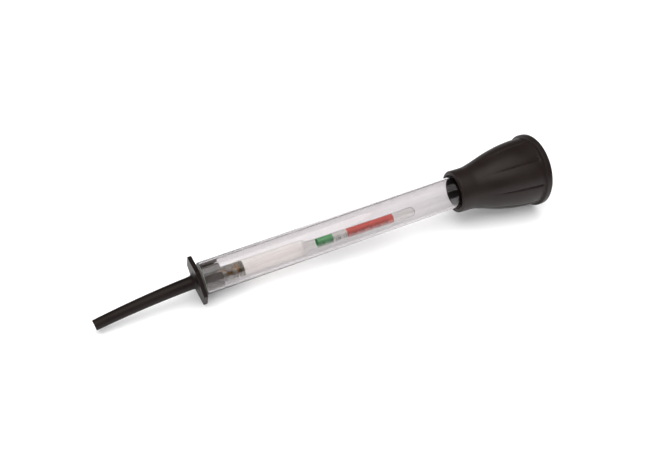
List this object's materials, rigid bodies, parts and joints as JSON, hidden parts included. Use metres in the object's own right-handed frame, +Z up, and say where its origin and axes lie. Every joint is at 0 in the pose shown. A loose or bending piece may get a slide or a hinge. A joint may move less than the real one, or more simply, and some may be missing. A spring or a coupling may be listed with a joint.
{
  "type": "battery hydrometer",
  "caption": "Battery-acid hydrometer lying on its side: ribbed rubber suction bulb, clear glass barrel with a weighted glass float and paper scale, hexagonal plug and bent nozzle.",
  "frame": {"origin": "on the surface that it lies on, under the middle of its bounding box", "axes": "+X along the instrument from the nozzle to the bulb, +Z up"},
  "size_m": [0.3224, 0.0516, 0.0515],
  "materials": {
    "barrel_glass": "clear, fire-polished ends",
    "plug_rubber": "satin moulded",
    "bulb_rubber": "satin moulded",
    "float_glass": "clear, lamp-blown",
    "scale_paper": "printed in green, white and red zones",
    "ballast_resin": "amber, poured",
    "lead_shot": "dull lead"
  },
  "bodies": {
    "barrel": {"glass_barrel": "barrel_glass"},
    "plug": {"nozzle_plug": "plug_rubber"},
    "bulb": {"suction_bulb": "bulb_rubber"},
    "bulb_wall": {"bulb_press_wall": "bulb_rubber"},
    "float": {"float_body_glass": "float_glass", "float_stem_glass": "float_glass", "scale_paper": "scale_paper", "ballast_resin": "ballast_resin", "lead_shot_01": "lead_shot", "lead_shot_02": "lead_shot", "lead_shot_03": "lead_shot", "lead_shot_04": "lead_shot", "lead_shot_05": "lead_shot", "lead_shot_06": "lead_shot", "lead_shot_07": "lead_shot", "lead_shot_08": "lead_shot", "lead_shot_09": "lead_shot", "lead_shot_10": "lead_shot", "lead_shot_11": "lead_shot", "lead_shot_12": "lead_shot", "lead_shot_13": "lead_shot", "lead_shot_14": "lead_shot", "lead_shot_15": "lead_shot", "lead_shot_16": "lead_shot", "lead_shot_17": "lead_shot", "lead_shot_18": "lead_shot"}
  },
  "joints": [
    {"name": "plug_pull", "type": "slide", "parent": "barrel", "child": "plug", "axis": [-0.9983, 0, -0.059], "range_m": [0, 0.03]},
    {"name": "bulb_pull", "type": "slide", "parent": "barrel", "child": "bulb", "axis": [0.9983, 0, 0.059], "range_m": [0, 0.04]},
    {"name": "bulb_press", "type": "slide", "parent": "bulb", "child": "bulb_wall", "axis": [0, 0, -1], "range_m": [0, 0.006], "stiffness_N_per_m": 1500},
    {"name": "float_slide", "type": "slide", "parent": "barrel", "child": "float", "axis": [0.9983, 0, 0.059], "range_m": [0, 0.088]}
  ]
}
